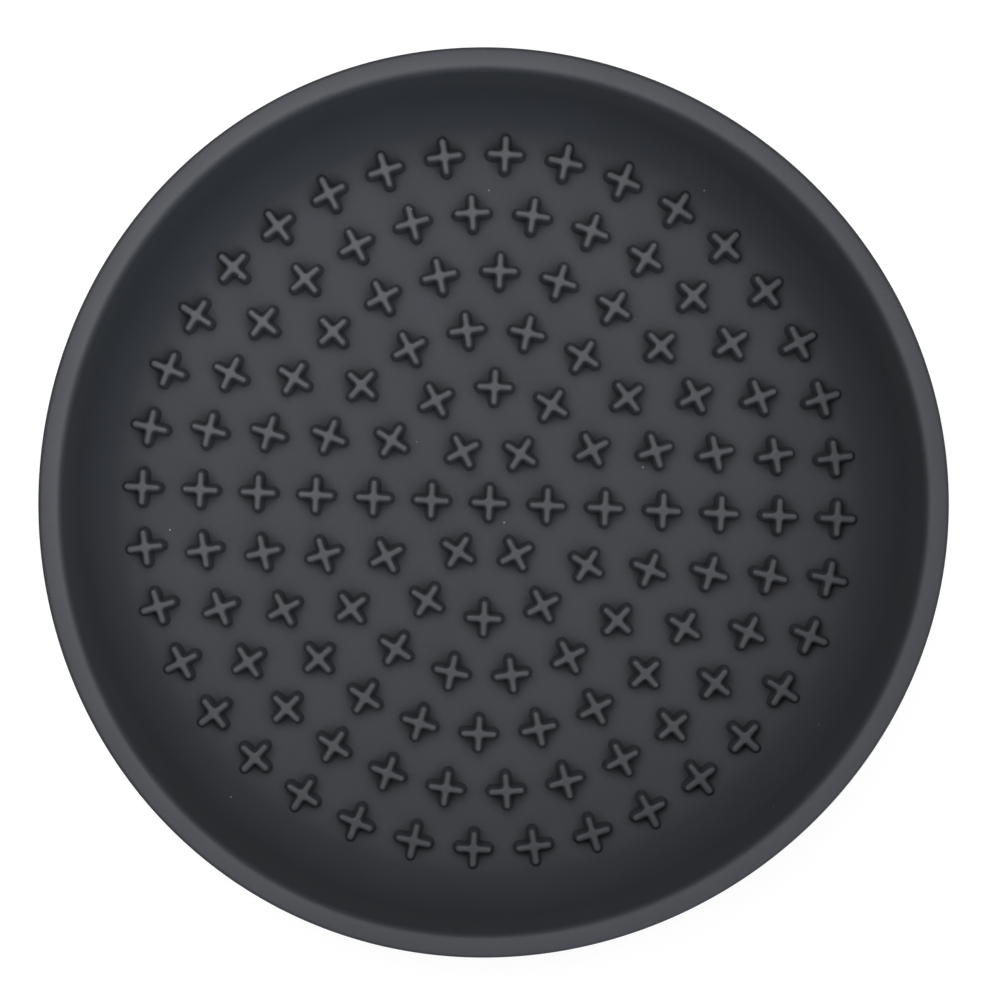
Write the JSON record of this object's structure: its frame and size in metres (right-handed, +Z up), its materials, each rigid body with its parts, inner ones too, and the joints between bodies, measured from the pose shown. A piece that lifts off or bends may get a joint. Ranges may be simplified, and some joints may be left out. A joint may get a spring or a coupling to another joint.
{
  "type": "pet lick bowl",
  "caption": "Shallow round silicone bowl with a coved wall, a flat-topped rim and a floor of plus-shaped ridges that slow down licking.",
  "frame": {"origin": "centre of the bowl, on the surface that its foot ring stands on", "axes": "+Z up along the bowl's axis, out of its mouth; +X along a row of ridges that runs through the middle"},
  "size_m": [0.1698, 0.1698, 0.03],
  "materials": {
    "silicone": "matte",
    "silicone_floor": "matte",
    "silicone_rim": "matte"
  },
  "bodies": {
    "root": {"bowl_shell": "silicone", "lick_floor": "silicone_floor", "rim_band": "silicone_rim", "foot_ring": "silicone"}
  },
  "joints": []
}
